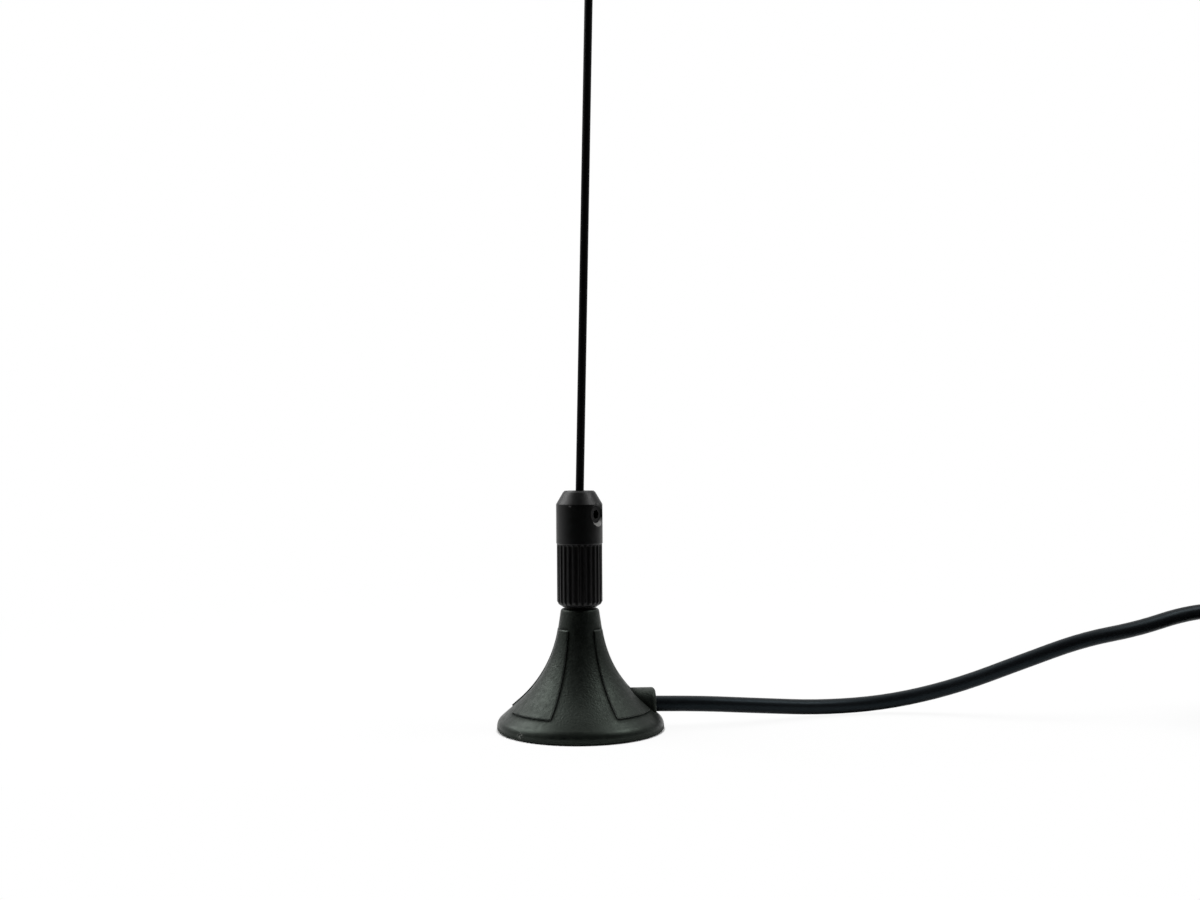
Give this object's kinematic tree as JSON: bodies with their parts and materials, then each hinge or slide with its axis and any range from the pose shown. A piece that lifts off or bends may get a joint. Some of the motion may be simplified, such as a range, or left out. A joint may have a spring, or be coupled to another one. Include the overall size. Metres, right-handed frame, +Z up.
{
  "type": "magnetic vhf car antenna",
  "caption": "Whip antenna on a flared magnetic foot, with a fluted collar that clamps the rod, and a thin coax cable that ends in a screw-on plug.",
  "frame": {"origin": "middle of the foot's underside, where its pad meets the roof", "axes": "+Z up along the collar, +X towards the side where the cable leaves the foot, -Y is the front"},
  "size_m": [0.1906, 0.0468, 0.51],
  "materials": {
    "foot_plastic": "satin moulded plastic",
    "stud_brass": "turned and blackened",
    "collar_black": "satin black coating on turned metal",
    "screw_black": "blackened",
    "whip_black": "semi-gloss black coating",
    "magnet_nickel": "nickel plated",
    "plate_steel": "zinc plated",
    "pad_rubber": "matt",
    "dielectric": "waxy white",
    "wire_copper": "bare copper",
    "solder": "bright solder",
    "cable_jacket": "satin flexible jacket",
    "tie_fabric": "woven band",
    "boot_rubber": "shrunk sleeve, satin",
    "plug_nickel": "nickel plated, satin",
    "contact_gold": "gold plated",
    "gasket_rubber": "matt silicone"
  },
  "bodies": {
    "root": {"base_housing": "foot_plastic", "threaded_stud": "stud_brass", "whip_collar": "collar_black", "grub_screw": "screw_black", "whip_rod": "whip_black", "magnet": "magnet_nickel", "yoke_plate": "plate_steel", "foot_pad": "pad_rubber", "cable_clamp": "plate_steel", "cable_core": "dielectric", "centre_wire": "wire_copper", "braid_tail": "wire_copper", "solder_joints": "solder", "cable_lead": "cable_jacket", "cable_coil": "cable_jacket", "coil_ties": "tie_fabric", "cable_tail": "cable_jacket", "plug_boot": "boot_rubber", "plug_ferrule": "plug_nickel", "plug_body": "contact_gold", "plug_snap_ring": "plate_steel", "plug_nut": "plug_nickel", "plug_gasket": "gasket_rubber", "plug_insulator": "dielectric", "plug_pin": "contact_gold", "plug_core": "dielectric"}
  },
  "joints": []
}
